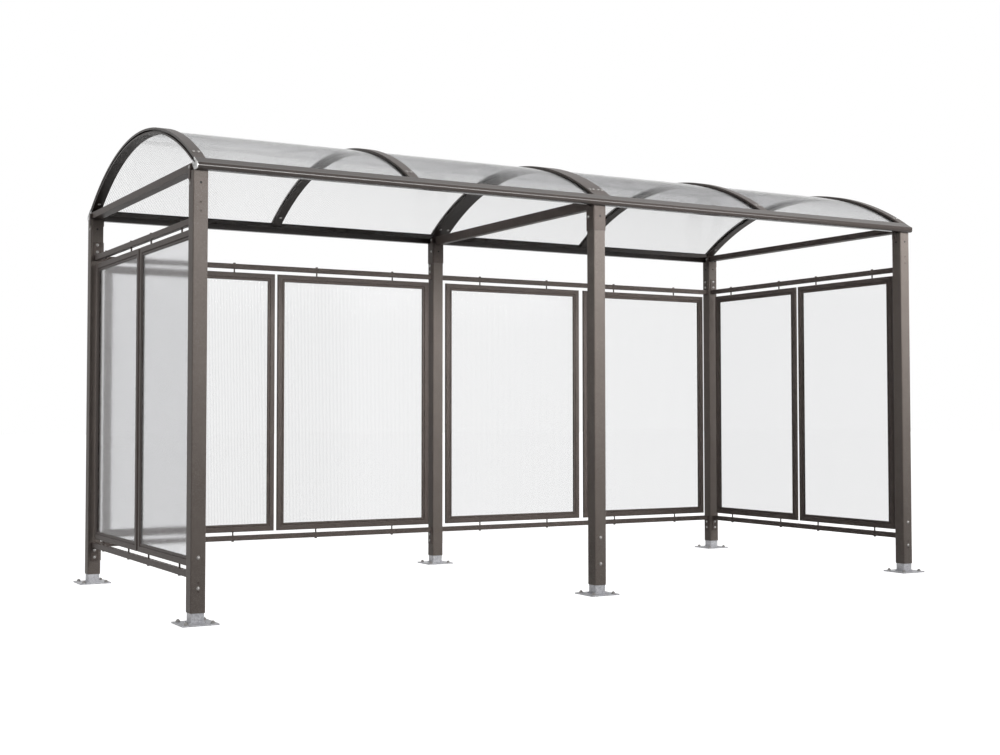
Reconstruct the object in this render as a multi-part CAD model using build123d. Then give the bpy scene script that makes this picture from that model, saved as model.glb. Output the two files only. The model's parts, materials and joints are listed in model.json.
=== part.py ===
from build123d import *
import os

# Bike shelter: six square posts on bolted feet, a barrel roof of twin-wall sheets
# clamped to curved bars, and framed panels round the back and both ends.
# Millimetres, +Z up. X runs along the shelter, the open front faces -Y,
# and the origin is on the ground at the middle of the plan.

os.makedirs("parts", exist_ok=True)

# Plan, centre to centre of the posts
left_bay = 2470.0
right_bay = 2530.0
plan_depth = 2066.0

# Fits
seat_gap = 0.3
stub_clearance = 0.5
least_bore_radius = 1.0

# Posts, up to the underside of the eave profile
post_side = 80.0
post_wall = 4.0
post_corner_radius = 7.0
post_bottom = 59.0
eave_seat = 2321.0

# Feet
foot_plate_x = 195.0
foot_plate_y = 186.0
foot_plate_thickness = 8.0
foot_stub_top = 400.0
foot_stub_wall = 4.0
anchor_edge_x = 27.5
anchor_edge_y = 25.0
anchor_hole_radius = 7.0

# Roof: its curve springs from the eave's lip and rises to the crown
roof_rise = 311.6
eave_lip_height = 68.4
bar_width = 60.0
bar_flange = 9.4
bar_web = 12.0
bar_web_recess = 16.0
strip_height = 12.0
strip_wall = 4.0
roof_sheet_thickness = 10.0
sheet_expansion_gap = 4.0
sheet_entry = 34.0

# Eave profile, measured outwards from the centre line of the posts
eave_inner_offset = 5.0
eave_foot_offset = 30.0
eave_foot_rise = 30.0
eave_lip_offset = 22.0
eave_step_offset = 66.0
eave_nose_reach = 84.0
eave_nose_radius = 20.0
eave_wall = 3.0
eave_cap_thickness = 3.0
cap_slot_offset = 42.0
cap_slot_width = 10.0
cap_slot_rise = 20.0

# Cross ties, the cheeks that hold them to the post tops, and the middle tie's sleeves
tie_long_side = 60.0
tie_short_side = 40.0
tie_wall = 3.0
tie_rise = 45.0
sleeve_height = 147.0
sleeve_wall = 4.0
cheek_rise = 37.0
packer_height = 30.0
cheek_lap = 41.0

# Rails, the top ones hung at a set drop below the eave
rail_height = 34.0
rail_depth = 30.0
rail_wall = 2.5
rail_corner_radius = 3.0
top_rail_drop = 231.0
bottom_rail_bottom = 227.0
rail_plate_height = 118.0
rail_plate_width = 50.0
rail_plate_thickness = 6.0

# Framed panels: an outer band, a groove and a bead that holds the sheet.
# One width serves both rear bays, so the narrower bay sets it.
panel_rail_gap = 23.0
rear_panel_gap = 21.0
side_post_gap = 39.0
side_panel_gap = 28.0
frame_band = 34.0
frame_band_radius = 5.0
frame_step = 2.5
bead_face = 16.0
bead_radius = 2.0
bead_lip = 2.2
groove_width = 4.5
groove_depth = 4.5
wall_sheet_thickness = 10.0
wall_sheet_entry = 9.0
rear_stud_offset = 292.0
side_stud_offset = 282.0
stud_radius = 5.0
nut_radius = 9.0
nut_height = 7.0

# Worked out from the sizes above
shelter_length = left_bay + right_bay
left_x = -shelter_length / 2
middle_x = left_x + left_bay
right_x = shelter_length / 2
back_y = plan_depth / 2
front_y = -back_y
post_half = post_side / 2
post_columns = {"left": left_x, "middle": middle_x, "right": right_x}
post_rows = {"front": front_y, "rear": back_y}
half_span = back_y + eave_lip_offset
roof_radius = (half_span**2 + roof_rise**2) / (2 * roof_rise)
crown_height = eave_seat + eave_lip_height + roof_rise
arc_centre_z = crown_height - roof_radius
strip_inner_radius = roof_radius - strip_height
sheet_outer_radius = strip_inner_radius - seat_gap
sheet_inner_radius = sheet_outer_radius - roof_sheet_thickness
bar_outer_radius = sheet_inner_radius - seat_gap
bar_inner_radius = bar_outer_radius - bar_flange
web_outer_radius = roof_radius - strip_wall - seat_gap
bar_half = bar_width / 2
eave_inner_y = back_y - eave_inner_offset
bar_reach = eave_inner_y - seat_gap
tie_top = eave_seat + tie_rise
cheek_top = eave_seat + cheek_rise
top_rail_top = eave_seat - top_rail_drop
panel_top = top_rail_top - rail_height - panel_rail_gap
panel_bottom = bottom_rail_bottom + rail_height + panel_rail_gap
panel_height = panel_top - panel_bottom
panel_mid_z = (panel_top + panel_bottom) / 2
rear_panel_width = (min(left_bay, right_bay) - post_side - 3 * rear_panel_gap) / 2
side_panel_width = (plan_depth - post_side - 2 * side_post_gap - side_panel_gap) / 2
frame_face = frame_band + bead_face
bead_depth = wall_sheet_thickness + 2 * (seat_gap + bead_lip)
frame_depth = bead_depth + 2 * frame_step


def block(low, high):
    """A box between two corners."""
    size = [b - a for a, b in zip(low, high)]
    centre = [(a + b) / 2 for a, b in zip(low, high)]
    return Pos(*centre) * Box(*size)


def arc_band(inner_radius, outer_radius, x_low, x_high):
    """A ring about the roof's axis, between two places along the shelter."""
    ring = Circle(outer_radius) - Circle(inner_radius)
    plane = Plane(origin=(x_low, 0, arc_centre_z), x_dir=(0, 1, 0), z_dir=(1, 0, 0))
    return extrude(plane * ring, x_high - x_low)


def between_y(solid, reach):
    """The top of a ring, cut off square at the same distance in front and behind."""
    low = (left_x - post_side, -reach, arc_centre_z)
    high = (right_x + post_side, reach, crown_height + post_side)
    return solid & block(low, high)


def tube_section(side_a, side_b, wall, radius):
    """The section of a hollow rolled bar."""
    outline = RectangleRounded(side_a, side_b, radius)
    bore_radius = max(radius - wall, least_bore_radius)
    return outline - RectangleRounded(side_a - 2 * wall, side_b - 2 * wall, bore_radius)


def square_tube(side, wall, radius, length):
    """A square hollow bar standing on the XY plane."""
    return extrude(tube_section(side, side, wall, radius), length)


def save(name, shape):
    export_step(shape, f"parts/{name}.step")


# Posts, closed at the top where the eave profile sits
def post():
    tube = square_tube(post_side, post_wall, post_corner_radius, eave_seat - post_bottom)
    cap = extrude(RectangleRounded(post_side, post_side, post_corner_radius), post_wall)
    return Pos(0, 0, post_bottom) * tube + Pos(0, 0, eave_seat - post_wall) * cap


# Feet: an anchor plate and a stub that the post slips over
def foot():
    plate = extrude(Rectangle(foot_plate_x, foot_plate_y), foot_plate_thickness)
    spacing_x = foot_plate_x - 2 * anchor_edge_x
    spacing_y = foot_plate_y - 2 * anchor_edge_y
    holes = GridLocations(spacing_x, spacing_y, 2, 2) * Circle(anchor_hole_radius)
    plate -= extrude(Sketch() + holes, foot_plate_thickness)
    stub_side = post_side - 2 * (post_wall + stub_clearance)
    stub_radius = max(post_corner_radius - post_wall, least_bore_radius)
    stub = square_tube(stub_side, foot_stub_wall, stub_radius, foot_stub_top - foot_plate_thickness)
    return plate + Pos(0, 0, foot_plate_thickness) * stub


for column, x in post_columns.items():
    for row, y in post_rows.items():
        save(f"post_{row}_{column}", Pos(x, y, 0) * post())
        save(f"foot_{row}_{column}", Pos(x, y, 0) * foot())

# Cross ties, carried at the post tops by cheeks, and at the middle by sleeves as well
sleeve_inner = post_half + seat_gap
sleeve_outer = sleeve_inner + sleeve_wall
sleeve_corner_radius = post_corner_radius + seat_gap + sleeve_wall


def sleeve():
    return square_tube(2 * sleeve_outer, sleeve_wall, sleeve_corner_radius, sleeve_height)


def cross_tie(width, height, is_sleeved):
    """A box tie between the eaves, packed out to two cheeks over each post."""
    outline = Rectangle(width, height) - Rectangle(width - 2 * tie_wall, height - 2 * tie_wall)
    run = 2 * bar_reach
    plane = Plane(origin=(0, -run / 2, tie_top - height / 2), x_dir=(1, 0, 0), z_dir=(0, -1, 0))
    tie = extrude(plane * outline, -run)
    for y, side in ((front_y, 1), (back_y, -1)):
        post_low = (-sleeve_inner, y - sleeve_inner, post_bottom)
        post_high = (sleeve_inner, y + sleeve_inner, eave_seat + seat_gap)
        tie -= block(post_low, post_high)
        if is_sleeved:
            tie += Pos(0, y, eave_seat - sleeve_height) * sleeve()
        near = y + side * (eave_inner_offset + seat_gap)
        far = y + side * (sleeve_outer - sleeve_corner_radius)
        y_low, y_high = sorted((near, far))
        for hand in (-1, 1):
            x_low, x_high = sorted((hand * sleeve_inner, hand * sleeve_outer))
            tie += block((x_low, y_low, eave_seat - cheek_lap), (x_high, y_high, cheek_top))
            x_low, x_high = sorted((hand * width / 2, hand * sleeve_inner))
            tie += block((x_low, y_low, cheek_top - packer_height), (x_high, y_high, cheek_top))
    return tie


save("cross_tie_left", Pos(left_x, 0, 0) * cross_tie(tie_long_side, tie_short_side, False))
save("cross_tie_middle", Pos(middle_x, 0, 0) * cross_tie(tie_short_side, tie_long_side, True))
save("cross_tie_right", Pos(right_x, 0, 0) * cross_tie(tie_long_side, tie_short_side, False))


# Roof bars: a curved flange below the sheets and a web between them,
# with a hollow clamp strip that presses the sheets down from above.
# The roof is made of two modules, each with a bar at both ends and one halfway,
# so a pair of bars meets at the middle, the first of them over the middle posts.
modules = [(left_x, middle_x), (middle_x + bar_width + seat_gap, right_x)]
web_shift = bar_half - bar_web_recess - bar_web / 2
strip_reach = half_span - seat_gap


def roof_bar(x, web_centre):
    flange = arc_band(bar_inner_radius, bar_outer_radius, x - bar_half, x + bar_half)
    web = arc_band(bar_outer_radius, web_outer_radius, web_centre - bar_web / 2, web_centre + bar_web / 2)
    return between_y(flange + web, bar_reach)


def clamp_strip(x):
    cap = arc_band(strip_inner_radius, roof_radius, x - bar_half, x + bar_half)
    leg_inner = bar_half - strip_wall
    hollow = arc_band(strip_inner_radius, roof_radius - strip_wall, x - leg_inner, x + leg_inner)
    return between_y(cap - hollow, strip_reach)


def roof_sheet(web_low, web_high):
    x_low = web_low + bar_web / 2 + sheet_expansion_gap
    x_high = web_high - bar_web / 2 - sheet_expansion_gap
    sheet = arc_band(sheet_inner_radius, sheet_outer_radius, x_low, x_high)
    return between_y(sheet, back_y + sheet_entry)


bars = []
strips = []
roof_sheets = []
for first, last in modules:
    halfway = (first + last) / 2
    webs = [first - web_shift, halfway, last + web_shift]
    bars += [roof_bar(x, web) for x, web in zip((first, halfway, last), webs)]
    strips += [clamp_strip(x) for x in (first, halfway, last)]
    roof_sheets += [roof_sheet(webs[0], webs[1]), roof_sheet(webs[1], webs[2])]


def middle_paired(pieces):
    """The six pieces along the roof, the two that meet at the middle made one group."""
    return pieces[:2] + [Compound(pieces[2:4])] + pieces[4:]


for number, (bar, strip) in enumerate(zip(middle_paired(bars), middle_paired(strips)), start=1):
    save(f"roof_bar_{number}", bar)
    save(f"clamp_strip_{number}", strip)
for number, sheet in enumerate(roof_sheets, start=1):
    save(f"roof_sheet_{number}", sheet)


# Eave profile: a foot that rises inwards, a seat and slot for the sheets,
# a sloping lip over them and a round nose.
# Drawn with u outwards from the centre line of the posts and z up.
arc_centre = Pos(-back_y, arc_centre_z)
nose_centre = Pos(eave_nose_reach - eave_nose_radius, eave_seat + eave_nose_radius)


def band_u(u_low, u_high, z_low):
    """An upright band of the section, tall enough to pass the roof line."""
    height = crown_height - z_low
    return Pos((u_low + u_high) / 2, z_low + height / 2) * Rectangle(u_high - u_low, height)


def below_arc(radius):
    return arc_centre * Circle(radius)


def under_foot(wall):
    """The corner left open under the foot's slope, or the same corner moved in by a wall."""
    run = eave_foot_offset + eave_inner_offset
    slope_length = (run**2 + eave_foot_rise**2) ** 0.5
    toe = (eave_foot_offset, eave_seat)
    top = (-eave_inner_offset, eave_seat + eave_foot_rise)
    corner = make_face(Polyline(toe, top, (-eave_inner_offset, eave_seat), close=True))
    return Pos(wall * eave_foot_rise / slope_length, wall * run / slope_length) * corner


def eave_outline():
    body = band_u(-eave_inner_offset, eave_step_offset, eave_seat) & below_arc(roof_radius)
    body -= under_foot(0)
    roof_side = band_u(-post_side, eave_lip_offset, eave_seat)
    body -= roof_side - below_arc(bar_outer_radius)
    slot = band_u(-post_side, sheet_entry + seat_gap, eave_seat)
    body -= (slot & below_arc(strip_inner_radius)) - below_arc(bar_outer_radius)
    return body + nose_centre * Circle(eave_nose_radius)


def eave_cavity():
    floor = eave_seat + eave_wall
    seat_side = band_u(eave_wall - eave_inner_offset, eave_step_offset - eave_wall, floor)
    cavity = seat_side & below_arc(bar_outer_radius - eave_wall)
    cavity -= under_foot(eave_wall)
    lip_side = band_u(sheet_entry + seat_gap + eave_wall, eave_step_offset - eave_wall, floor)
    cavity += lip_side & below_arc(roof_radius - eave_wall)
    return cavity + nose_centre * Circle(eave_nose_radius - eave_wall)


def rear_eave_run(x_low, x_high, section):
    plane = Plane(origin=(x_low, back_y, 0), x_dir=(0, 1, 0), z_dir=(1, 0, 0))
    return extrude(plane * section, x_high - x_low)


outline = eave_outline()
eave_low = left_x - bar_half
eave_high = right_x + bar_half
rear_eave = rear_eave_run(eave_low, eave_high, outline - eave_cavity())
save("eave_profile_rear", rear_eave)
save("eave_profile_front", mirror(rear_eave, about=Plane.XZ))
cap_slot = band_u(
    cap_slot_offset - cap_slot_width / 2, cap_slot_offset + cap_slot_width / 2, eave_seat + cap_slot_rise
)
cap_outline = outline - (cap_slot & below_arc(roof_radius - eave_wall))
rear_caps = [
    rear_eave_run(eave_low - eave_cap_thickness, eave_low, cap_outline),
    rear_eave_run(eave_high, eave_high + eave_cap_thickness, cap_outline),
]
front_caps = [mirror(cap, about=Plane.XZ) for cap in rear_caps]
save("eave_end_caps", Compound(rear_caps + front_caps))


# Framed panels, built flat on the XZ plane about their own centre
def panel_frame(width, stud_offset):
    hole_x = width - 2 * frame_band
    hole_z = panel_height - 2 * frame_band
    band = Box(width, frame_depth, panel_height) - Box(hole_x, frame_depth, hole_z)
    band = fillet(band.edges().filter_by(Axis.Y, reverse=True), frame_band_radius)
    sight_x = width - 2 * frame_face
    sight_z = panel_height - 2 * frame_face
    bead = Box(hole_x, bead_depth, hole_z) - Box(sight_x, bead_depth, sight_z)
    sight_edges = [e for f in bead.faces().filter_by(Axis.Y) for e in f.inner_wires()[0].edges()]
    bead = fillet(sight_edges, bead_radius)
    core_depth = bead_depth - 2 * groove_depth
    groove = Box(hole_x, bead_depth, hole_z)
    groove -= Box(hole_x - 2 * groove_width, bead_depth, hole_z - 2 * groove_width)
    groove -= Box(hole_x, core_depth, hole_z)
    slot_depth = 2 * (wall_sheet_entry + seat_gap)
    slot = Box(sight_x + slot_depth, wall_sheet_thickness + 2 * seat_gap, sight_z + slot_depth)
    frame = band + (bead - groove) - slot
    for hand in (-1, 1):
        for level in (-1, 1):
            frame += Pos(hand * stud_offset, 0, level * panel_height / 2) * stud(level)
    return frame


def stud(level):
    """Hanger stud through a rail, with its nut on the far side of the rail."""
    length = panel_rail_gap + rail_height + nut_height
    shank = extrude(Circle(stud_radius), length)
    nut = Pos(0, 0, panel_rail_gap + rail_height) * extrude(RegularPolygon(nut_radius, 6), nut_height)
    whole = shank + nut
    return whole if level > 0 else mirror(whole, about=Plane.XY)


def panel_sheet(width):
    entry = 2 * wall_sheet_entry - 2 * frame_face
    return Box(width + entry, wall_sheet_thickness, panel_height + entry)


def bay_panel_centres(low, high, width):
    """Two panels in a bay, with the same gap beside and between them."""
    gap = (high - low - 2 * width) / 3
    return [low + gap + width / 2, high - gap - width / 2]


rear_bays = {"left": (left_x, middle_x), "right": (middle_x, right_x)}
rear_centres = []
for low, high in rear_bays.values():
    rear_centres += bay_panel_centres(low + post_half, high - post_half, rear_panel_width)
side_offset = (side_panel_width + side_panel_gap) / 2
side_centres = {"front": -side_offset, "rear": side_offset}

rear_sheets = []
for number, x in enumerate(rear_centres, start=1):
    place = Pos(x, back_y, panel_mid_z)
    save(f"rear_panel_frame_{number}", place * panel_frame(rear_panel_width, rear_stud_offset))
    rear_sheets.append(place * panel_sheet(rear_panel_width))
save("rear_panel_sheets", Compound(rear_sheets))

for side, x in (("left", left_x), ("right", right_x)):
    sheets = []
    for end, y in side_centres.items():
        place = Pos(x, y, panel_mid_z) * Rot(0, 0, 90)
        save(f"{side}_panel_frame_{end}", place * panel_frame(side_panel_width, side_stud_offset))
        sheets.append(place * panel_sheet(side_panel_width))
    save(f"{side}_panel_sheets", Compound(sheets))


# Rails between the posts, with a bolting plate at each end that reaches away from the panels
def rail(span, stud_places, is_top):
    section = tube_section(rail_depth, rail_height, rail_wall, rail_corner_radius)
    run = span - 2 * rail_plate_thickness
    plane = Plane(origin=(-run / 2, 0, 0), x_dir=(0, 1, 0), z_dir=(1, 0, 0))
    tube = extrude(plane * section, run)
    for place in stud_places:
        tube -= Pos(place, 0, 0) * Cylinder(stud_radius + seat_gap, rail_height)
    reach = rail_plate_height - rail_height / 2
    low, high = (-rail_height / 2, reach) if is_top else (-reach, rail_height / 2)
    for hand in (-1, 1):
        x_low, x_high = sorted((hand * run / 2, hand * span / 2))
        tube += block((x_low, -rail_plate_width / 2, low), (x_high, rail_plate_width / 2, high))
    return tube


rail_levels = {
    "top": top_rail_top - rail_height / 2,
    "bottom": bottom_rail_bottom + rail_height / 2,
}
for level, z in rail_levels.items():
    rails = []
    for low, high in rear_bays.values():
        centre = (low + high) / 2
        centres = bay_panel_centres(low + post_half, high - post_half, rear_panel_width)
        studs = [c - centre + hand * rear_stud_offset for c in centres for hand in (-1, 1)]
        rails.append(Pos(centre, back_y, z) * rail(high - low - post_side, studs, level == "top"))
    save(f"rear_{level}_rails", Compound(rails))

side_studs = [c + hand * side_stud_offset for c in side_centres.values() for hand in (-1, 1)]
for side, x in (("left", left_x), ("right", right_x)):
    rails = []
    for level, z in rail_levels.items():
        turned = Rot(0, 0, 90) * rail(plan_depth - post_side, side_studs, level == "top")
        rails.append(Pos(x, 0, z) * turned)
    save(f"{side}_side_rails", Compound(rails))
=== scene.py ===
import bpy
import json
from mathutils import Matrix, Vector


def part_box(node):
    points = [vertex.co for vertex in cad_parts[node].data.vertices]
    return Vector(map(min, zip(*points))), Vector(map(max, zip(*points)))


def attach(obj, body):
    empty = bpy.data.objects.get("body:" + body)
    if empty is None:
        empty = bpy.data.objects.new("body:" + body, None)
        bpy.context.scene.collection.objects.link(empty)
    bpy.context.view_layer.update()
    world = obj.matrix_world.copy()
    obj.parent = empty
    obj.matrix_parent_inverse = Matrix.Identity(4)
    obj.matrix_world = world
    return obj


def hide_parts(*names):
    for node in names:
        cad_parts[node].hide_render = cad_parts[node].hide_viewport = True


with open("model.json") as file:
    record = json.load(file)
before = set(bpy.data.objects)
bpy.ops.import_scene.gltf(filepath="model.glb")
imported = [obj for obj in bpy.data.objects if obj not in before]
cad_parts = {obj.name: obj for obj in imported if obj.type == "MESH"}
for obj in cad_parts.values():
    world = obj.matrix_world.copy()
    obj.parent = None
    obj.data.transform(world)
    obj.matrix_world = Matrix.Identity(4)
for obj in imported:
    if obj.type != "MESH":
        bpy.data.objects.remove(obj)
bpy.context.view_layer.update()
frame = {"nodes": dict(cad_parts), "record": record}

import json
import math
import bpy
from mathutils import Matrix, Vector

# Bike shelter: fluted sheets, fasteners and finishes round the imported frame. Metres, +Z up.

nodes = frame["nodes"]
bpy.ops.object.select_all(action="DESELECT")


# Shader wiring

def pickSocket(sockets, key):
    if isinstance(key, int):
        return sockets[key]
    return next(s for s in sockets if s.enabled and s.name == key)


class Wire:
    # One output socket of a shader tree. Sums on wires add the Math nodes that they need.

    def __init__(self, tree, socket=None):
        self.tree = tree
        self.socket = socket

    def node(self, kind, settings=None, values=None, out=0):
        made = self.tree.nodes.new(kind)
        for key, value in (settings or {}).items():
            setattr(made, key, value)
        for key, value in (values or {}).items():
            target = pickSocket(made.inputs, key)
            if isinstance(value, Wire):
                self.tree.links.new(value.socket, target)
            else:
                target.default_value = value
        return Wire(self.tree, pickSocket(made.outputs, out))

    def sum(self, operation, first, second):
        return self.node("ShaderNodeMath", {"operation": operation}, {0: first, 1: second})

    def __add__(self, other):
        return self.sum("ADD", self, other)

    def __sub__(self, other):
        return self.sum("SUBTRACT", self, other)

    def __mul__(self, other):
        return self.sum("MULTIPLY", self, other)

    def __rsub__(self, other):
        return self.sum("SUBTRACT", other, self)

    __radd__ = __add__
    __rmul__ = __mul__


def grey(level):
    return (level, level, level, 1.0)


def newFinish(name, fixed):
    material = bpy.data.materials.new(name)
    material.use_nodes = True
    tree = material.node_tree
    shader = tree.nodes["Principled BSDF"]
    for key, value in fixed.items():
        shader.inputs[key].default_value = value
    return material, Wire(tree), shader


def feed(wire, shader, key):
    wire.tree.links.new(wire.socket, shader.inputs[key])


def noise(start, place, scale, detail=2.0, rough=0.5):
    values = {"Vector": place, "Scale": scale, "Detail": detail, "Roughness": rough}
    return start.node("ShaderNodeTexNoise", None, values)


def mixColour(start, factor, first, second):
    values = {"Factor": factor, "A": first, "B": second}
    return start.node("ShaderNodeMix", {"data_type": "RGBA"}, values, "Result")


def between(start, wire, low, high):
    return start.node("ShaderNodeMapRange", None, {"Value": wire, "From Min": low, "From Max": high})


def bump(start, height, strength, distance):
    return start.node("ShaderNodeBump", None, {"Height": height, "Strength": strength, "Distance": distance})


# Powder coat: a dark brown-grey with a fine fleck and an orange-peel skin

def powderCoat(name, values):
    material, start, shader = newFinish(name, {"Specular IOR Level": values["gloss"]})
    place = start.node("ShaderNodeTexCoord", out="Object")
    grain = noise(start, place, values["grainScale"], detail=3.0, rough=0.65)
    fleck = noise(start, place, values["fleckScale"], detail=1.0)
    cloud = noise(start, place, values["cloudScale"], detail=3.0)
    light = between(start, fleck, *values["fleckRange"])
    dark = between(start, grain, *values["shadeRange"])
    body = mixColour(start, cloud, values["deep"], values["body"])
    body = mixColour(start, dark * values["grainDepth"], body, values["shade"])
    body = mixColour(start, light * values["fleckDepth"], body, values["fleck"])
    feed(body, shader, "Base Color")
    feed(grain * values["roughSpread"] + values["roughLow"], shader, "Roughness")
    skin = grain + fleck * values["fleckLift"]
    feed(bump(start, skin, values["bump"], values["bumpDepth"]), shader, "Normal")
    return material


postCoatValues = {
    "deep": (0.136, 0.115, 0.102, 1), "body": (0.172, 0.147, 0.132, 1), "shade": (0.070, 0.058, 0.050, 1),
    "fleck": (0.300, 0.270, 0.250, 1), "grainScale": 700.0, "fleckScale": 420.0, "cloudScale": 9.0,
    "grainDepth": 0.75, "fleckDepth": 0.6, "gloss": 0.12, "roughLow": 0.34, "roughSpread": 0.26,
    "fleckRange": (0.56, 0.68), "shadeRange": (0.46, 0.34), "fleckLift": 0.6,
    "bump": 0.35, "bumpDepth": 0.0004,
}
frameCoatValues = dict(postCoatValues)
frameCoatValues.update({
    "deep": (0.096, 0.078, 0.070, 1), "body": (0.122, 0.100, 0.090, 1), "shade": (0.055, 0.044, 0.039, 1),
    "fleck": (0.235, 0.205, 0.190, 1), "grainDepth": 0.6, "fleckDepth": 0.45, "bump": 0.25,
})
# Eave profiles: a darker copy of the frame coat, whose extra darkness is painted shade for the shaded nose
# of the eave
eavePaintedShadeValues = dict(frameCoatValues)
eavePaintedShadeValues.update({
    "deep": (0.034, 0.026, 0.023, 1), "body": (0.044, 0.034, 0.030, 1), "shade": (0.022, 0.017, 0.015, 1),
    "fleck": (0.085, 0.072, 0.066, 1), "gloss": 0.35, "roughLow": 0.13, "roughSpread": 0.10, "bump": 0.06,
})
stripCoatValues = dict(frameCoatValues)
stripCoatValues.update({
    "deep": (0.062, 0.051, 0.046, 1), "body": (0.080, 0.066, 0.060, 1), "shade": (0.034, 0.027, 0.024, 1),
    "fleck": (0.120, 0.104, 0.096, 1), "gloss": 0.3, "roughLow": 0.36, "roughSpread": 0.18, "bump": 0.12,
})
# Roof bars: a darker copy of the strip coat, whose extra darkness is painted shade for the bars' undersides
# beneath the roof
barPaintedShadeValues = dict(stripCoatValues)
barPaintedShadeValues.update({
    "deep": (0.041, 0.032, 0.028, 1), "body": (0.053, 0.042, 0.037, 1), "shade": (0.028, 0.022, 0.019, 1),
    "fleck": (0.085, 0.072, 0.066, 1), "gloss": 0.25,
})
# Near-black coat: painted shade for the inside of open holes in the posts
holeShadeValues = dict(frameCoatValues)
holeShadeValues.update({
    "deep": (0.012, 0.011, 0.010, 1), "body": (0.020, 0.018, 0.017, 1), "shade": (0.006, 0.006, 0.006, 1),
    "fleck": (0.035, 0.033, 0.032, 1), "gloss": 0.3, "bump": 0.1,
})


# Hot-dip zinc: dull crystals of slightly different greys, with a milky bloom

def hotDipZinc(name, values):
    material, start, shader = newFinish(name, {})
    place = start.node("ShaderNodeTexCoord", out="Object")
    wobblePlace = {"Vector": place, "Scale": values["wobbleScale"]}
    wobble = start.node("ShaderNodeTexNoise", None, wobblePlace, "Color")
    shift = {0: wobble, "Scale": values["wobbleDepth"]}
    bent = start.node("ShaderNodeVectorMath", {"operation": "SCALE"}, shift)
    bent = start.node("ShaderNodeVectorMath", {"operation": "ADD"}, {0: place, 1: bent})
    crystalPlace = {"Vector": bent, "Scale": values["crystalScale"]}
    crystal = start.node("ShaderNodeTexVoronoi", None, crystalPlace, "Color")
    level = start.node("ShaderNodeSeparateColor", None, {"Color": crystal}, "Red")
    bloom = noise(start, place, values["bloomScale"], detail=4.0, rough=0.6)
    colour = mixColour(start, level, values["dark"], values["light"])
    milky = between(start, bloom, *values["bloomRange"])
    feed(mixColour(start, milky * values["bloomDepth"], colour, values["bloom"]), shader, "Base Color")
    roughness = level * values["crystalRough"] + milky * values["bloomRough"] + values["roughLow"]
    feed(roughness, shader, "Roughness")
    feed(values["metal"] - milky * values["bloomMetal"], shader, "Metallic")
    relief = bloom + level * values["crystalLift"]
    feed(bump(start, relief, values["bump"], values["bumpDepth"]), shader, "Normal")
    return material


footZincValues = {
    "dark": (0.34, 0.34, 0.36, 1), "light": (0.54, 0.54, 0.56, 1), "bloom": (0.50, 0.50, 0.52, 1),
    "crystalScale": 140.0, "wobbleScale": 60.0, "wobbleDepth": 0.006, "crystalLift": 0.4,
    "bloomScale": 35.0, "bloomRange": (0.5, 0.75), "bloomDepth": 0.7,
    "crystalRough": 0.14, "bloomRough": 0.2, "roughLow": 0.36,
    "metal": 0.6, "bloomMetal": 0.3, "bump": 0.25, "bumpDepth": 0.0005,
}


# Plated bolts and bare aluminium caps

def platedMetal(name, values):
    material, start, shader = newFinish(name, {"Metallic": values["metal"]})
    place = start.node("ShaderNodeTexCoord", out="Object")
    tarnish = noise(start, place, values["patchScale"], detail=4.0, rough=0.6)
    scratch = noise(start, place, values["grainScale"])
    feed(mixColour(start, tarnish, values["dark"], values["light"]), shader, "Base Color")
    roughness = tarnish * values["patchRough"] + scratch * values["grainRough"] + values["roughLow"]
    feed(roughness, shader, "Roughness")
    feed(bump(start, scratch, values["bump"], values["bumpDepth"]), shader, "Normal")
    return material


boltZincValues = {
    "dark": (0.22, 0.21, 0.20, 1), "light": (0.40, 0.39, 0.38, 1),
    "patchScale": 180.0, "grainScale": 1500.0, "roughLow": 0.22, "metal": 1.0,
    "patchRough": 0.2, "grainRough": 0.1, "bump": 0.15, "bumpDepth": 0.0002,
}
capMetalValues = dict(boltZincValues)
capMetalValues.update({
    "dark": (0.62, 0.62, 0.62, 1), "light": (0.82, 0.82, 0.81, 1),
    "patchScale": 40.0, "grainScale": 900.0, "roughLow": 0.28, "metal": 0.45,
})


# Twin-wall polycarbonate: clear skins with a faint haze, and ribs that hold back more light

def clearPlastic(name, values):
    fixed = {"Transmission Weight": 1.0, "IOR": values["ior"], "Base Color": values["tint"]}
    material, start, shader = newFinish(name, fixed)
    place = start.node("ShaderNodeTexCoord", out="Object")
    haze = noise(start, place, values["hazeScale"])
    feed(haze * values["hazeSpread"] + values["hazeLow"], shader, "Roughness")
    return material


skinValues = {
    "ior": 1.08, "tint": (0.950, 0.951, 0.952, 1),
    "hazeScale": 25.0, "hazeSpread": 0.02, "hazeLow": 0.09,
}
ribValues = dict(skinValues)
ribValues.update({"tint": (0.925, 0.925, 0.93, 1), "hazeLow": 0.05})
roofSkinValues = dict(skinValues)
roofSkinValues.update({"ior": 1.05, "tint": (0.955, 0.956, 0.956, 1), "hazeSpread": 0.01, "hazeLow": 0.03})
roofRibValues = dict(roofSkinValues)
roofRibValues.update({"tint": (0.86, 0.86, 0.864, 1), "hazeLow": 0.04})


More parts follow.
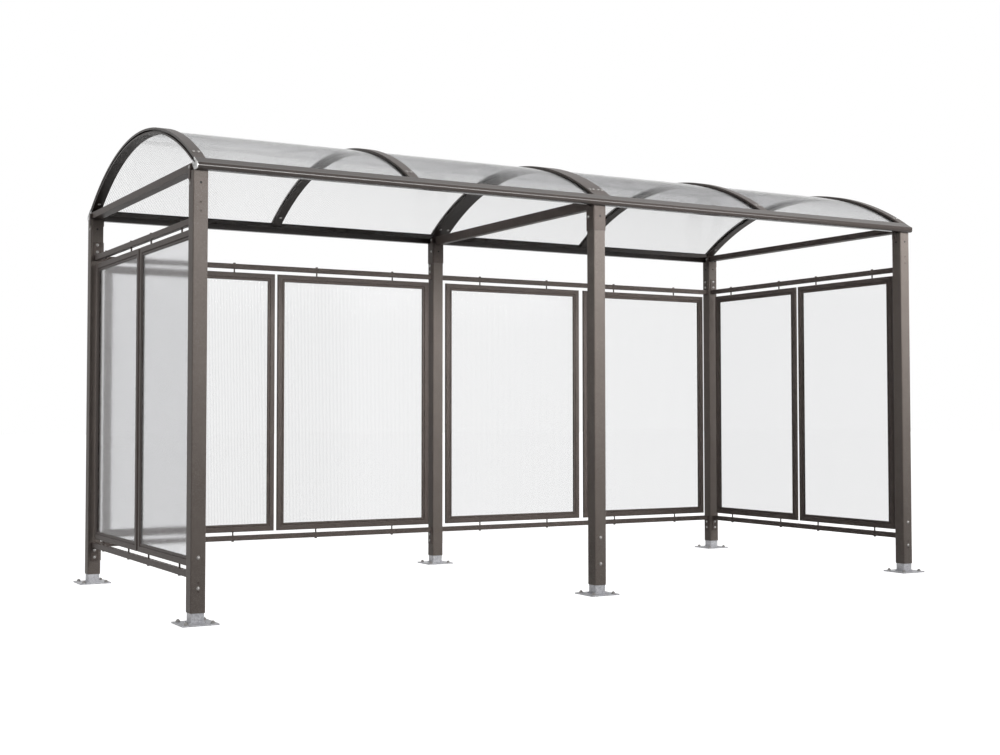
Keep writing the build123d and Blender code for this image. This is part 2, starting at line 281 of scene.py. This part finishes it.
finishes = {
    "post_coat": powderCoat("postCoat", postCoatValues),
    "frame_coat": powderCoat("frameCoat", frameCoatValues),
    # eave profiles: darker copy of the coat, with painted shade
    "eave_profile": powderCoat("eavePaintedShadeCoat", eavePaintedShadeValues),
    "clamp_strip": powderCoat("stripCoat", stripCoatValues),
    # roof bars: darker copy of the coat, with painted shade
    "roof_bar": powderCoat("barPaintedShadeCoat", barPaintedShadeValues),
    # painted shade inside open holes
    "plug": powderCoat("holeShadeCoat", holeShadeValues),
    "galvanised": hotDipZinc("footZinc", footZincValues),
    "cap_metal": platedMetal("capMetal", capMetalValues),
    "bolt": platedMetal("boltZinc", boltZincValues),
    "skin": clearPlastic("sheetSkin", skinValues),
    "rib": clearPlastic("sheetRib", ribValues),
    "roofSkin": clearPlastic("roofSkin", roofSkinValues),
    "roofRib": clearPlastic("roofRib", roofRibValues),
}
print("finishes ready")

for part in frame["record"]["subparts"]:
    slotName = part["material_slot"]
    for family in ("eave_profile", "clamp_strip", "roof_bar"):
        if part["node"].startswith(family):
            slotName = family
    if slotName in finishes:
        mesh = nodes[part["node"]].data
        mesh.materials.clear()
        mesh.materials.append(finishes[slotName])
print("frame painted")


# Modelling helpers

facingLimit = 0.9
softAngles = {"sheet": 20, "anchor": 30, "weld": 40, "plug": 40, "bolt": 50}


def startEdit(obj, mode="FACE"):
    bpy.ops.object.select_all(action="DESELECT")
    obj.select_set(True)
    bpy.context.view_layer.objects.active = obj
    bpy.ops.object.mode_set(mode="EDIT")
    bpy.ops.mesh.select_mode(type=mode)
    bpy.ops.mesh.select_all(action="SELECT")


def endEdit():
    bpy.ops.object.mode_set(mode="OBJECT")


def chooseFaces(obj, test):
    bpy.ops.mesh.select_all(action="DESELECT")
    endEdit()
    for face in obj.data.polygons:
        face.select = test(face)
    bpy.ops.object.mode_set(mode="EDIT")


def settle(obj, turn=Matrix.Identity(4)):
    # puts the object's place and a further turn into its mesh
    obj.data.transform(turn @ obj.matrix_basis)
    obj.matrix_basis = Matrix.Identity(4)
    obj.data.update()


def joinAll(parts, name):
    bpy.ops.object.select_all(action="DESELECT")
    for part in parts:
        part.select_set(True)
    bpy.context.view_layer.objects.active = parts[0]
    bpy.ops.object.join()
    joined = bpy.context.object
    joined.name = name
    joined.data.name = name
    return joined


def copyAt(master, name, place):
    mesh = master.data.copy()
    mesh.transform(place)
    made = bpy.data.objects.new(name, mesh)
    bpy.context.scene.collection.objects.link(made)
    return made


def copiesOf(master, name, places):
    copies = [copyAt(master, name, place) for place in places]
    return joinAll(copies, name)


def halfway(first, second):
    return (first + second) / 2


def boxMiddle(node):
    return [halfway(a, b) for a, b in zip(*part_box(node))]


def facing(point, direction):
    turn = Vector(direction).to_track_quat("Z", "Y").to_matrix().to_4x4()
    return Matrix.Translation(point) @ turn


def looksUp(face):
    return face.normal.z > facingLimit


def finish(obj, slotName, finishName, angle):
    obj.data.materials.clear()
    obj.data.materials.append(finishes[finishName or slotName])
    smoothBy(obj, angle)
    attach(obj, "root")


def smoothBy(obj, angle):
    bpy.ops.object.select_all(action="DESELECT")
    obj.select_set(True)
    bpy.context.view_layer.objects.active = obj
    bpy.ops.object.shade_smooth_by_angle(angle=math.radians(angle))


def dropMaster(obj):
    bpy.data.objects.remove(obj)


# Fluted sheets: two skins joined by ribs, open at the ends of the flutes

fluteValues = {"pitch": 0.0105, "skin": 0.0007, "rib": 0.0005, "mergeShare": 0.1, "arcSteps": 48}


def fluteSection(width, thickness):
    # one flute is drawn and repeated across the sheet
    count = round(width / fluteValues["pitch"])
    pitch = width / count
    bpy.ops.mesh.primitive_plane_add(size=1, location=(0, 0, 0))
    sheet = bpy.context.object
    startEdit(sheet)
    bpy.ops.transform.resize(value=(pitch, thickness, 1))
    bpy.ops.mesh.inset(thickness=fluteValues["rib"] / 2)
    skinShare = (thickness - 2 * fluteValues["skin"]) / (thickness - fluteValues["rib"])
    bpy.ops.transform.resize(value=(1, skinShare, 1))
    bpy.ops.mesh.delete(type="FACE")
    endEdit()
    row = sheet.modifiers.new("row", "ARRAY")
    row.count = count
    row.use_relative_offset = False
    row.use_constant_offset = True
    row.constant_offset_displace = (pitch, 0, 0)
    row.use_merge_vertices = True
    row.merge_threshold = fluteValues["rib"] * fluteValues["mergeShare"]
    bpy.ops.object.modifier_apply(modifier=row.name)
    settle(sheet, Matrix.Translation(((pitch - width) / 2, 0, 0)))
    return sheet


def markRibs(sheet, across, skinName, ribName):
    sheet.data.materials.append(finishes[skinName])
    sheet.data.materials.append(finishes[ribName])
    for face in sheet.data.polygons:
        if abs(face.normal.dot(across)) > facingLimit:
            face.material_index = 1


def finishSheet(sheet, name, across, node, skinName="skin", ribName="rib"):
    startEdit(sheet)
    bpy.ops.mesh.normals_make_consistent(inside=False)
    endEdit()
    sheet.name = name
    sheet.data.name = name
    markRibs(sheet, across, skinName, ribName)
    smoothBy(sheet, softAngles["sheet"])
    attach(sheet, "root")
    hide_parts(node)


def wallSheet(name, frameNode, sheetNode, turned):
    low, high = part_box(frameNode)
    sheetLow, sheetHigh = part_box(sheetNode)
    along, across = (1, 0) if turned else (0, 1)
    groupLow = min(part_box(n)[0][along] for n in frameNodes[sheetNode])
    inset = sheetLow[along] - groupLow
    width = high[along] - low[along] - 2 * inset
    thickness = sheetHigh[across] - sheetLow[across]
    sheet = fluteSection(width, thickness)
    startEdit(sheet)
    height = sheetHigh[2] - sheetLow[2]
    bpy.ops.mesh.extrude_region_move(TRANSFORM_OT_translate={"value": (0, 0, height)})
    endEdit()
    middle = boxMiddle(frameNode)
    middle[across] = halfway(sheetLow[across], sheetHigh[across])
    middle[2] = sheetLow[2]
    turn = Matrix.Rotation(math.radians(90), 4, "Z") if turned else Matrix.Identity(4)
    settle(sheet, Matrix.Translation(middle) @ turn)
    finishSheet(sheet, name, Vector((0, 1, 0)) if turned else Vector((1, 0, 0)), sheetNode)


frameNodes = {
    "rear_panel_sheets": [f"rear_panel_frame_{number}" for number in range(1, 5)],
    "left_panel_sheets": ["left_panel_frame_front", "left_panel_frame_rear"],
    "right_panel_sheets": ["right_panel_frame_front", "right_panel_frame_rear"],
}
for sheetNode, frameList in frameNodes.items():
    for number, frameNode in enumerate(frameList, start=1):
        name = sheetNode.replace("sheets", "flutes") + f"_{number}"
        wallSheet(name, frameNode, sheetNode, not sheetNode.startswith("rear"))
print("wall sheets fluted")


def roofArc():
    # radius and centre height of the sheets' outer face, worked out from one sheet's box
    low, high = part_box("roof_sheet_1")
    thickness = roofValues["thickness"]
    rise = high[2] - low[2]
    reach = high[1]
    radius = (reach**2 + rise**2 - thickness**2) / (2 * (rise - thickness))
    return radius, high[2] - radius, reach


roofValues = {"thickness": 0.010}
arcRadius, arcCentre, arcReach = roofArc()


def roofSheet(number):
    low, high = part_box(f"roof_sheet_{number}")
    thickness = roofValues["thickness"]
    sheet = fluteSection(high[0] - low[0], thickness)
    halfAngle = math.asin(arcReach / arcRadius)
    stand = Matrix.Rotation(math.radians(90), 4, "X")
    lift = Matrix.Translation((0, 0, arcRadius - thickness / 2))
    lean = Matrix.Rotation(halfAngle, 4, "X")
    centre = Vector((halfway(low[0], high[0]), 0, arcCentre))
    settle(sheet, Matrix.Translation(centre) @ lean @ lift @ stand)
    startEdit(sheet)
    bpy.ops.mesh.spin(
        steps=fluteValues["arcSteps"], dupli=False, angle=2 * halfAngle, center=centre, axis=(1, 0, 0)
    )
    endEdit()
    across = Vector((1, 0, 0))
    finishSheet(sheet, f"roof_flutes_{number}", across, f"roof_sheet_{number}", "roofSkin", "roofRib")


for number in range(1, 5):
    roofSheet(number)
print("roof sheets fluted")


# Fasteners

boltValues = {
    "headRadius": 0.0080, "headHeight": 0.0048, "sides": 20, "rings": 12,
    "washerRadius": 0.0094, "washerHeight": 0.0012,
}
washerShape = {"sides": 24, "bevel": 0.4, "bevelRise": 0.25}


def roundBar(sides, radius, bottom, top):
    middle = (0, 0, halfway(bottom, top))
    bpy.ops.mesh.primitive_cylinder_add(vertices=sides, radius=radius, depth=top - bottom, location=middle)
    bar = bpy.context.object
    settle(bar)
    return bar


def insetTop(inward, rise):
    bpy.ops.mesh.inset(thickness=inward)
    bpy.ops.transform.translate(value=(0, 0, rise))


def domedBolt():
    radius = boltValues["headRadius"]
    bpy.ops.mesh.primitive_uv_sphere_add(
        segments=boltValues["sides"], ring_count=boltValues["rings"], radius=radius
    )
    head = bpy.context.object
    startEdit(head)
    bpy.ops.mesh.bisect(plane_co=(0, 0, 0), plane_no=(0, 0, 1), use_fill=True, clear_inner=True)
    bpy.ops.mesh.select_all(action="SELECT")
    flatten = boltValues["headHeight"] / radius
    bpy.ops.transform.resize(value=(1, 1, flatten), center_override=(0, 0, 0))
    bpy.ops.transform.translate(value=(0, 0, boltValues["washerHeight"]))
    endEdit()
    washer = roundWasher(boltValues["washerRadius"], boltValues["washerHeight"])
    return joinAll([washer, head], "domedBolt")


def roundWasher(radius, height):
    washer = roundBar(washerShape["sides"], radius, 0, height)
    startEdit(washer)
    chooseFaces(washer, looksUp)
    insetTop(height * washerShape["bevel"], height * washerShape["bevelRise"])
    endEdit()
    return washer


anchorValues = {
    "washerRadius": 0.0130, "washerHeight": 0.0022, "nutRadius": 0.0107, "nutHeight": 0.0080,
    "studRadius": 0.0060, "studAbove": 0.0035, "thread": 0.00175, "threadDepth": 0.0009,
    "nutBevel": 0.12, "nutBevelRise": 0.08, "nutRim": 0.22, "nutRimDrop": 0.05,
    "studSides": 14, "mergeDistance": 0.00001,
}


def hexNut(lift, values):
    radius, height = values["nutRadius"], values["nutHeight"]
    nut = roundBar(6, radius, lift, lift + height)
    startEdit(nut)
    chooseFaces(nut, looksUp)
    insetTop(radius * values["nutBevel"], height * values["nutBevelRise"])
    insetTop(radius * values["nutRim"], -height * values["nutRimDrop"])
    endEdit()
    return nut


def threadedStud(top, values):
    depth, pitch = values["threadDepth"], values["thread"]
    coreRadius = values["studRadius"] - depth
    core = roundBar(values["studSides"], coreRadius, 0, top)
    startEdit(core)
    chooseFaces(core, looksUp)
    insetTop(depth, depth)
    endEdit()
    bpy.ops.mesh.primitive_plane_add(size=1, location=(0, 0, 0))
    ridge = bpy.context.object
    startEdit(ridge, "VERT")
    bpy.ops.mesh.merge(type="CENTER")
    bpy.ops.transform.translate(value=(coreRadius, 0, 0))
    for step in (depth, -depth):
        bpy.ops.mesh.extrude_region_move(TRANSFORM_OT_translate={"value": (step, 0, pitch / 2)})
    endEdit()
    screw = ridge.modifiers.new("screw", "SCREW")
    screw.angle = math.radians(360)
    screw.screw_offset = pitch
    screw.iterations = int(top / pitch) - 1
    screw.steps = screw.render_steps = values["studSides"]
    screw.use_merge_vertices = True
    bpy.context.view_layer.objects.active = ridge
    bpy.ops.object.modifier_apply(modifier=screw.name)
    startEdit(ridge)
    bpy.ops.mesh.remove_doubles(threshold=values["mergeDistance"])
    bpy.ops.mesh.normals_make_consistent(inside=False)
    endEdit()
    return joinAll([core, ridge], "threadedStud")


def anchorSet():
    values = anchorValues
    washer = roundWasher(values["washerRadius"], values["washerHeight"])
    nut = hexNut(values["washerHeight"], values)
    top = values["washerHeight"] + values["nutHeight"] + values["studAbove"]
    stud = threadedStud(top, values)
    return joinAll([washer, nut, stud], "anchorSet")


footValues = {"spacingX": 0.140, "spacingY": 0.136, "plateTop": 0.008, "turnX": 0.9, "turnY": 0.5}
postNames = [f"{row}_{column}" for row in ("front", "rear") for column in ("left", "middle", "right")]

anchor = anchorSet()
for post in postNames:
    x, y = boxMiddle(f"post_{post}")[:2]
    places = []
    for handX in (-1, 1):
        for handY in (-1, 1):
            spot = (x + handX * footValues["spacingX"] / 2, y + handY * footValues["spacingY"] / 2)
            turn = footValues["turnX"] * handX + footValues["turnY"] * handY + x
            spin = Matrix.Rotation(turn, 4, "Z")
            places.append(Matrix.Translation((*spot, footValues["plateTop"])) @ spin)
    finish(copiesOf(anchor, f"foot_anchors_{post}", places), "galvanised", "bolt", softAngles["anchor"])
dropMaster(anchor)


def footWeld():
    side = weldValues["stubSide"]
    leg = weldValues["leg"]
    base = side + 2 * leg
    bpy.ops.mesh.primitive_cube_add(size=1, location=(0, 0, leg / 2))
    weld = bpy.context.object
    weld.scale = (base, base, leg)
    settle(weld)
    startEdit(weld)
    bpy.ops.mesh.subdivide(number_cuts=weldValues["cuts"])
    chooseFaces(weld, looksUp)
    bpy.ops.transform.resize(value=(side / base, side / base, 1), center_override=(0, 0, leg))
    endEdit()
    return weld


weldValues = {"stubSide": 0.071, "leg": 0.006, "cuts": 14}
weld = footWeld()
for post in postNames:
    x, y = boxMiddle(f"post_{post}")[:2]
    place = Matrix.Translation((x, y, footValues["plateTop"]))
    finish(copiesOf(weld, f"foot_weld_{post}", [place]), "galvanised", None, softAngles["weld"])
dropMaster(weld)
print("feet fastened")


# Bolts on the post heads, strips and rails

plugSize = {"sides": 20, "radius": 0.0062, "height": 0.0010, "lip": 0.0012, "dip": 0.6}


def holePlug():
    plug = roundBar(plugSize["sides"], plugSize["radius"], 0, plugSize["height"])
    startEdit(plug)
    chooseFaces(plug, looksUp)
    insetTop(plugSize["lip"], -plugSize["height"] * plugSize["dip"])
    endEdit()
    return plug


def boltGroup(name, places):
    finish(copiesOf(bolt, name, places), "galvanised", "bolt", softAngles["bolt"])


def plugGroup(name, places, finishName=None):
    finish(copiesOf(plug, name, places), "frame_coat", finishName, softAngles["plug"])


bolt = domedBolt()
plug = holePlug()
headValues = {
    "holeHeight": 2.258, "cheekHeight": 2.342, "sideHeight": 2.258, "sideShift": 0.016,
    "footHeights": [0.340, 0.185], "proud": 0.0043,
}
railHeights = {"top": [2.156, 2.111], "bottom": [0.212, 0.167]}
for post in postNames:
    row, column = post.split("_")
    low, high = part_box(f"post_{post}")
    x, y = boxMiddle(f"post_{post}")[:2]
    outward = -1 if row == "front" else 1
    outerY = low[1] if row == "front" else high[1]
    proud = headValues["proud"]
    sleeve = proud if column == "middle" else 0.0
    sideY = y - outward * headValues["sideShift"]
    bolts, holeShadeDiscs = [], []
    for hand, edge in ((-1, low[0]), (1, high[0])):
        bolts.append(facing((edge + hand * proud, sideY, headValues["cheekHeight"]), (hand, 0, 0)))
        if (column, hand) in (("left", 1), ("right", -1)):
            # the inner side of an end post has an open hole in place of the lower bolt, shown as a disc of
            # painted shade
            holeShadeDiscs.append(facing((edge, y, headValues["sideHeight"]), (hand, 0, 0)))
        else:
            bolts.append(facing((edge + hand * sleeve, sideY, headValues["sideHeight"]), (hand, 0, 0)))
    bolts += [facing((x, outerY, z), (0, outward, 0)) for z in headValues["footHeights"]]
    boltGroup(f"post_bolts_{post}", bolts)
    # open holes in the front and back faces, shown as discs of painted shade
    holeShadeDiscs.append(facing((x, low[1] - sleeve, headValues["holeHeight"]), (0, -1, 0)))
    holeShadeDiscs.append(facing((x, high[1] + sleeve, headValues["holeHeight"]), (0, 1, 0)))
    plugGroup(f"post_hole_shade_discs_{post}", holeShadeDiscs, "plug")
    if column != "middle":
        marks = [facing((x, outerY, z), (0, outward, 0)) for z in sum(railHeights.values(), [])]
        plugGroup(f"post_marks_{post}", marks)

railPlate = 0.006
for level in ("top", "bottom"):
    for side in ("left", "right"):
        ends = {"left": ("left", "middle"), "right": ("middle", "right")}[side]
        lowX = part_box(f"post_rear_{ends[0]}")[1][0] + railPlate
        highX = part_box(f"post_rear_{ends[1]}")[0][0] - railPlate
        y = boxMiddle("post_rear_left")[1]
        places = [facing((lowX, y, z), (1, 0, 0)) for z in railHeights[level]]
        places += [facing((highX, y, z), (-1, 0, 0)) for z in railHeights[level]]
        boltGroup(f"rear_{level}_rail_bolts_{side}", places)
for side in ("left", "right"):
    frontPost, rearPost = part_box(f"post_front_{side}"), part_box(f"post_rear_{side}")
    x = halfway(frontPost[0][0], frontPost[1][0])
    frontY, rearY = frontPost[1][1] + railPlate, rearPost[0][1] - railPlate
    heights = sum(railHeights.values(), [])
    places = [facing((x, frontY, z), (0, 1, 0)) for z in heights]
    places += [facing((x, rearY, z), (0, -1, 0)) for z in heights]
    boltGroup(f"{side}_side_rail_bolts", places)

stripValues = {
    "endInset": 0.045, "barInset": 0.078, "pairSpread": 0.0125, "halfWidth": 0.030, "barDepth": 0.0320,
}


def arcBolts(centres, radius, inset, outward, spread):
    # both ends of each bar, square to the arc: two bolts side by side, or one where spread is 0
    angle = math.asin((boxMiddle("post_rear_left")[1] - inset) / radius)
    places = []
    for x in centres:
        for hand in (-1, 1):
            normal = Vector((0, hand * math.sin(angle), math.cos(angle)))
            for shift in sorted({-spread, spread}):
                point = Vector((x + shift, 0, arcCentre)) + normal * radius
                places.append(facing(point, normal * outward))
    return places


for number in range(1, 6):
    low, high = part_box(f"clamp_strip_{number}")
    # a single strip gives the same centre twice, the middle pair gives two
    halfWidth = stripValues["halfWidth"]
    centres = sorted({round(low[0] + halfWidth, 4), round(high[0] - halfWidth, 4)})
    outer = high[2] - arcCentre
    places = arcBolts(centres, outer, stripValues["endInset"], 1, stripValues["pairSpread"])
    boltGroup(f"strip_bolts_{number}", places)
    places = arcBolts(centres, outer - stripValues["barDepth"], stripValues["barInset"], -1, 0)
    boltGroup(f"bar_bolts_{number}", places)
dropMaster(plug)
dropMaster(bolt)
print("bolts placed")


# Stage, lights and camera

def rayKinds(start):
    # whether the camera sees this straight on, and whether it is seen in or through the object
    seen = start.node("ShaderNodeLightPath", out="Is Camera Ray")
    mirrored = start.node("ShaderNodeLightPath", out="Is Glossy Ray")
    through = start.node("ShaderNodeLightPath", out="Is Transmission Ray")
    return seen, clampedSum(mirrored, through)


def clampedSum(first, second):
    settings = {"operation": "ADD", "use_clamp": True}
    return first.node("ShaderNodeMath", settings, {0: first, 1: second})


def whiteFloor():
    bpy.ops.mesh.primitive_plane_add(size=stageValues["floorSize"], location=(0, 0, 0))
    floor = bpy.context.object
    floor.name = "floor"
    material = bpy.data.materials.new("floorWhite")
    material.use_nodes = True
    tree = material.node_tree
    tree.nodes.remove(tree.nodes["Principled BSDF"])
    start = Wire(tree)
    seen, beyond = rayKinds(start)
    pale = mixColour(start, seen, grey(stageValues["bounce"]), grey(stageValues["floor"]))
    matte = start.node("ShaderNodeBsdfDiffuse", None, {"Color": pale})
    shine = seen * stageValues["glow"] + beyond * stageValues["plain"]
    glow = start.node("ShaderNodeEmission", None, {"Color": grey(1.0), "Strength": shine})
    total = start.node("ShaderNodeAddShader", None, {0: matte, 1: glow})
    tree.links.new(total.socket, tree.nodes["Material Output"].inputs["Surface"])
    floor.data.materials.append(material)


def paleWorld():
    world = bpy.data.worlds.new("studio")
    bpy.context.scene.world = world
    world.use_nodes = True
    tree = world.node_tree
    start = Wire(tree)
    shown = clampedSum(*rayKinds(start))
    strength = shown * (1 - stageValues["sky"]) + stageValues["sky"]
    feed(strength, tree.nodes["Background"], "Strength")
    tree.nodes["Background"].inputs["Color"].default_value = grey(1.0)


stageValues = {
    "floorSize": 160, "floor": 0.85, "bounce": 0.04, "glow": 0.74, "plain": 0.97, "sky": 0.48,
}
lampValues = {
    "keyLamp": {
        "place": (1.4, -5.6, 3.0), "aim": (0.5, 0, 3.7), "size": (7.2, 1.4),
        "power": 222, "spread": 95, "mirrored": True,
    },
    "leftLamp": {
        "place": (-9.0, 0.5, 4.2), "aim": (-2.0, 0, 1.8), "size": (4.0, 3.0),
        "power": 30, "spread": 140, "mirrored": False,
    },
    "rightLamp": {
        "place": (9.5, -4.5, 2.6), "aim": (0.5, 0, 1.0), "size": (3.0, 2.0),
        "power": 120, "spread": 180, "mirrored": True,
    },
}
whiteFloor()
paleWorld()
for name, values in lampValues.items():
    lamp = bpy.data.lights.new(name, "AREA")
    lamp.shape = "RECTANGLE"
    lamp.size, lamp.size_y = values["size"]
    lamp.energy = values["power"]
    lamp.spread = math.radians(values["spread"])
    lampObject = bpy.data.objects.new(name, lamp)
    lampObject.location = values["place"]
    direction = Vector(values["aim"]) - Vector(values["place"])
    lampObject.rotation_euler = direction.to_track_quat("-Z", "Y").to_euler()
    lampObject.visible_glossy = values["mirrored"]
    lampObject.visible_transmission = False
    bpy.context.scene.collection.objects.link(lampObject)

cameraValues = {
    "place": (-4.79865, -8.01685, 1.04926), "pitch": 2.108, "yaw": -29.323,
    "lens": 50.673, "shiftX": 0.02674, "shiftY": -0.01129, "farEnd": 300, "bounces": 24,
}
camera = bpy.data.objects.new("camera", bpy.data.cameras.new("camera"))
camera.location = cameraValues["place"]
camera.rotation_euler = (math.radians(90 + cameraValues["pitch"]), 0, math.radians(cameraValues["yaw"]))
camera.data.lens = cameraValues["lens"]
camera.data.shift_x = cameraValues["shiftX"]
camera.data.shift_y = cameraValues["shiftY"]
camera.data.clip_end = cameraValues["farEnd"]
bpy.context.scene.collection.objects.link(camera)
bpy.context.scene.camera = camera
bpy.context.scene.view_settings.view_transform = "Standard"
bpy.context.scene.cycles.max_bounces = cameraValues["bounces"]
bpy.context.scene.cycles.transmission_bounces = cameraValues["bounces"]
print("stage lit")
